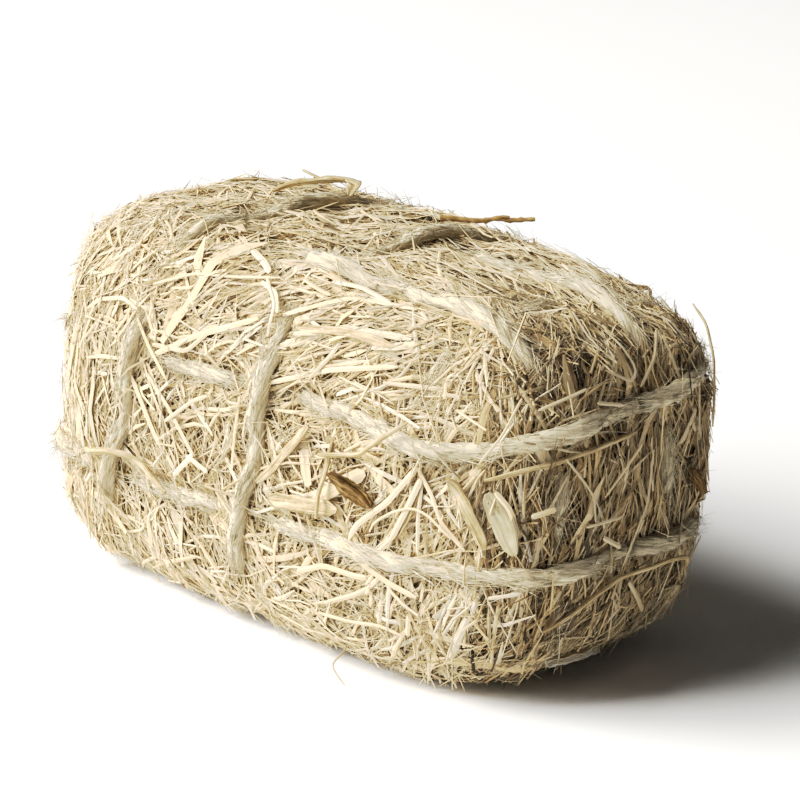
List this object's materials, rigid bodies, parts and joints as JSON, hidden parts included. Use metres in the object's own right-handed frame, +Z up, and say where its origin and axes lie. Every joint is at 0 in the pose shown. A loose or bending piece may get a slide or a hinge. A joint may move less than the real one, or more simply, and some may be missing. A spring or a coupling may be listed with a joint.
{
  "type": "hay bale",
  "caption": "Small rectangular bale of pressed dry hay with rounded edges, tied round its girth, sides and length with jute twine.",
  "frame": {"origin": "centre of the bale's bounding box, on the ground under its flat underside", "axes": "+X along the bale's length towards its shaded end, +Z up, -Y out of the long front side"},
  "size_m": [0.1296, 0.0696, 0.0687],
  "materials": {
    "pressed_hay": "matt dry grass",
    "jute_twine": "hairy natural jute",
    "pale_straw": "dry stem with a slight sheen",
    "brown_husk": "matt dry husk"
  },
  "bodies": {
    "root": {"hay_body": "pressed_hay", "twine_girth_left": "jute_twine", "twine_girth_middle": "jute_twine", "twine_girth_right": "jute_twine", "twine_around_lower": "jute_twine", "twine_around_upper": "jute_twine", "twine_lengthwise_back": "jute_twine", "twine_lengthwise_front": "jute_twine", "bent_stem_left": "pale_straw", "curved_stem_front": "pale_straw", "diagonal_stem_front": "pale_straw", "dried_bract_front": "brown_husk", "drooping_strand": "pale_straw", "fan_stem_corner": "pale_straw", "flat_stem_near_corner": "pale_straw", "flat_straw_front": "pale_straw", "flat_straw_shoulder": "pale_straw", "folded_straw_top": "pale_straw", "leaf_near_corner": "pale_straw", "long_straw_end_lower": "pale_straw", "long_straw_end_upper": "pale_straw", "loose_hair_front": "pale_straw", "papery_bract_end": "brown_husk", "seed_husk_end": "brown_husk", "straw_tip_top_back": "pale_straw", "straw_tip_top_left": "pale_straw", "twig_top": "brown_husk", "upright_stem_front": "pale_straw"}
  },
  "joints": []
}
